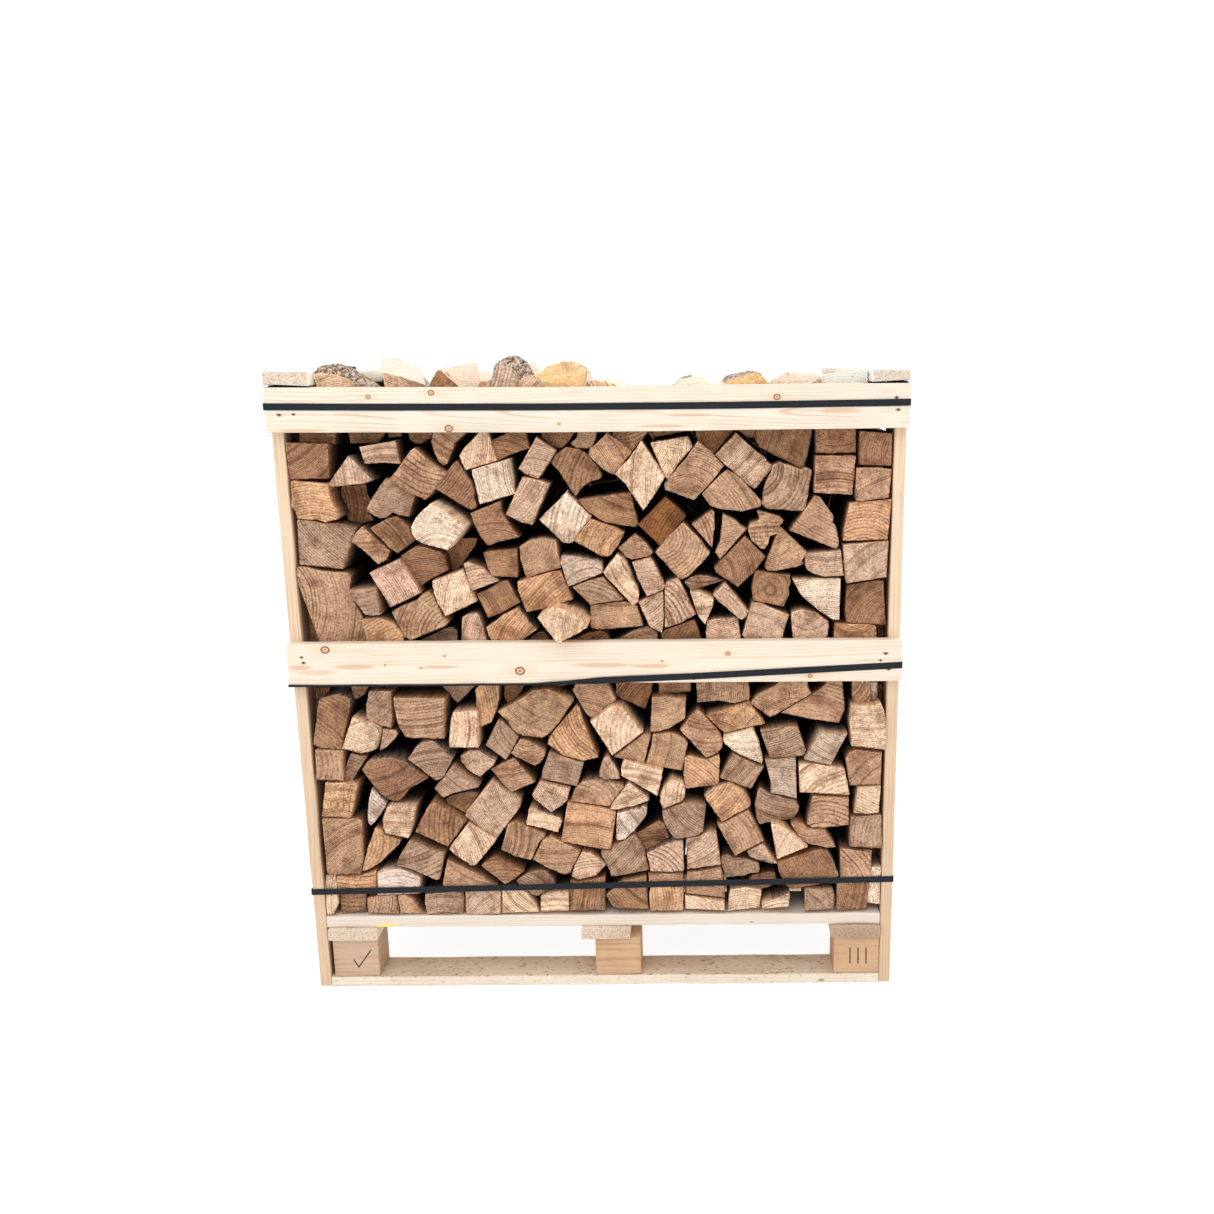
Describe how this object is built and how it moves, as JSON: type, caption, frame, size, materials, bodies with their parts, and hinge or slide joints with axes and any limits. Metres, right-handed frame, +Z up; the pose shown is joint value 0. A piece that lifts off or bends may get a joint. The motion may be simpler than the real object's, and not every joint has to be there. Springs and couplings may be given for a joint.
{
  "type": "crate of firewood",
  "caption": "Pallet crate with open sides, filled with split firewood, the logs' ends facing front and back, heaped above the rails and bound with dark straps.",
  "frame": {"origin": "on the ground under the middle of the crate", "axes": "+Z up, -Y towards the front with the sloping middle strap, +X to the right seen from the front"},
  "size_m": [1.1226, 0.9096, 1.2104],
  "materials": {
    "rail_wood": "sawn pale softwood",
    "post_wood": "sawn softwood",
    "board_wood": "sawn softwood",
    "block_wood": "rough pallet wood",
    "log_wood": "split and sawn ash",
    "strap_plastic": "flat dark strapping"
  },
  "bodies": {
    "root": {"back_bottom_board": "board_wood", "back_left_block": "block_wood", "back_left_post": "post_wood", "back_logs": "log_wood", "back_middle_block": "block_wood", "back_middle_rail": "rail_wood", "back_right_block": "block_wood", "back_right_post": "post_wood", "back_top_rail": "rail_wood", "bottom_strap": "strap_plastic", "deck_board_1": "board_wood", "deck_board_2": "board_wood", "deck_board_3": "board_wood", "deck_board_4": "board_wood", "deck_board_5": "board_wood", "front_bottom_board": "board_wood", "front_left_block": "block_wood", "front_left_post": "post_wood", "front_logs": "log_wood", "front_middle_block": "block_wood", "front_middle_rail": "rail_wood", "front_right_block": "block_wood", "front_right_post": "post_wood", "front_top_rail": "rail_wood", "left_cap_board": "rail_wood", "left_stringer": "block_wood", "middle_bottom_board": "board_wood", "middle_left_block": "block_wood", "middle_left_post": "post_wood", "middle_logs": "log_wood", "middle_middle_block": "block_wood", "middle_right_block": "block_wood", "middle_right_post": "post_wood", "middle_strap": "strap_plastic", "middle_stringer": "block_wood", "right_cap_board": "rail_wood", "right_stringer": "block_wood", "top_strap": "strap_plastic"}
  },
  "joints": []
}
